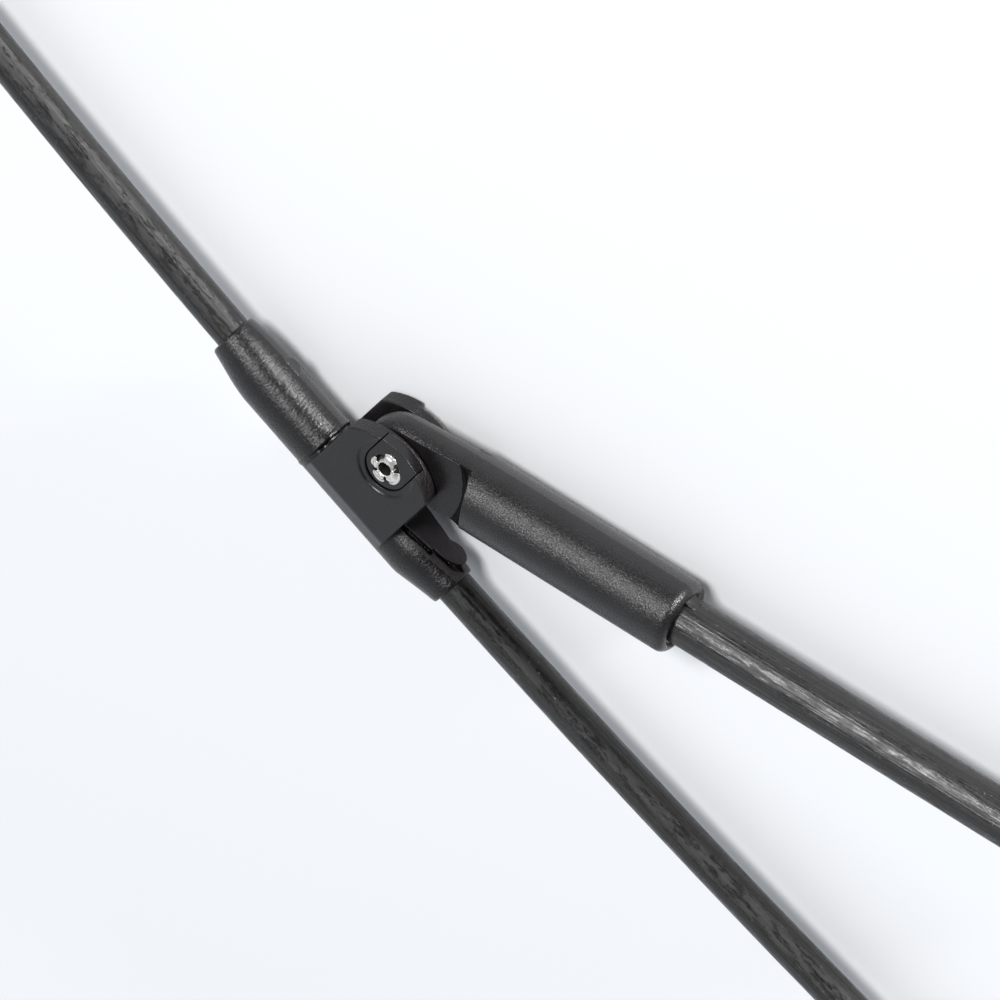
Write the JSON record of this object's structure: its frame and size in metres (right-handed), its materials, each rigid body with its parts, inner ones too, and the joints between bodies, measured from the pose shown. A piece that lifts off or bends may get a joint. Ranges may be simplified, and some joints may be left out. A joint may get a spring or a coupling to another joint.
{
  "type": "umbrella rib joint",
  "caption": "Hinged joint between a fibreglass umbrella rib and its strut: a moulded clevis on the rib, a socket on the strut and a hollow rivet as the hinge.",
  "frame": {"origin": "centre of the hinge rivet, midway between the two cheeks of the clevis", "axes": "+X along the rib towards the umbrella's crown, +Y from the rib to the strut, +Z along the rivet towards its split star"},
  "size_m": [0.1232, 0.0384, 0.0062],
  "materials": {
    "fibreglass_rod": "black fibreglass with gloss streaks",
    "moulded_nylon": "satin black, fine grain",
    "rivet_metal": "nickel plated",
    "adhesive": "cured black glue"
  },
  "bodies": {
    "rib_side": {"rib_rod": "fibreglass_rod", "rib_joint": "moulded_nylon", "near_keeper": "moulded_nylon", "far_keeper": "moulded_nylon", "hinge_rivet": "rivet_metal", "rib_adhesive": "adhesive"},
    "strut_side": {"strut_socket": "moulded_nylon", "strut_rod": "fibreglass_rod", "strut_adhesive": "adhesive"}
  },
  "joints": [
    {"name": "strut_hinge", "type": "hinge", "parent": "rib_side", "child": "strut_side", "pos_m": [0, 0, 0], "axis": [0, 0, 1], "range_deg": [-21, 151]}
  ]
}
